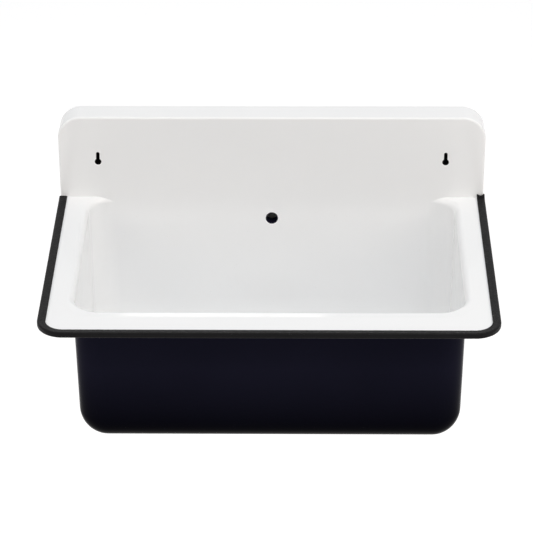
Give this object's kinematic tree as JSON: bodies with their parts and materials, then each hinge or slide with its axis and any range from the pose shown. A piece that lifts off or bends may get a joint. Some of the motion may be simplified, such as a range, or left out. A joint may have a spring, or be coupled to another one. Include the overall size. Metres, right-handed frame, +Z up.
{
  "type": "bucket sink",
  "caption": "Wall-hung enamelled steel utility sink: deep rectangular bowl, rim with push-on edge trim, splashback with hanging keyholes, overflow, strainer waste and lift-out plug.",
  "frame": {"origin": "midway between the centres of the two hanging keyholes' round parts, on the splashback's front face", "axes": "+X to the right seen from the front, +Y towards the wall, +Z up"},
  "size_m": [0.51, 0.3554, 0.3365],
  "materials": {
    "ground_enamel": "gloss dark blue enamel",
    "cover_enamel": "gloss white enamel",
    "trim_plastic": "fine-grained satin black",
    "band_steel": "bright strip",
    "seal_rubber": "matte black",
    "plug_rubber": "matte black",
    "waste_plastic": "satin white moulding",
    "insert_brass": "turned",
    "strainer_steel": "brushed stainless",
    "ring_chrome": "polished"
  },
  "bodies": {
    "sink": {"sink_body": "ground_enamel", "white_enamel": "cover_enamel", "edge_trim": "trim_plastic", "trim_core": "band_steel", "overflow_spigot": "ground_enamel", "spigot_seal": "seal_rubber", "overflow_elbow": "waste_plastic", "elbow_seal": "seal_rubber", "overflow_pipe": "waste_plastic", "branch_seal": "seal_rubber", "branch_nut": "waste_plastic", "waste_body": "waste_plastic", "tail_piece": "waste_plastic", "waste_insert": "insert_brass", "body_seal": "seal_rubber", "strainer": "strainer_steel", "strainer_seal": "seal_rubber", "strainer_screw": "strainer_steel"},
    "plug": {"plug_stopper": "plug_rubber", "plug_plate": "strainer_steel", "plug_eye": "ring_chrome", "plug_washer": "strainer_steel"},
    "ring": {"pull_ring": "ring_chrome"}
  },
  "joints": [
    {"name": "plug_lift", "type": "slide", "parent": "sink", "child": "plug", "axis": [0, 0, 1], "range_m": [0, 0.2]},
    {"name": "ring_swing", "type": "hinge", "parent": "plug", "child": "ring", "pos_m": [0, -0.138, -0.2191], "axis": [-1, 0, 0], "range_deg": [0, 158]}
  ]
}
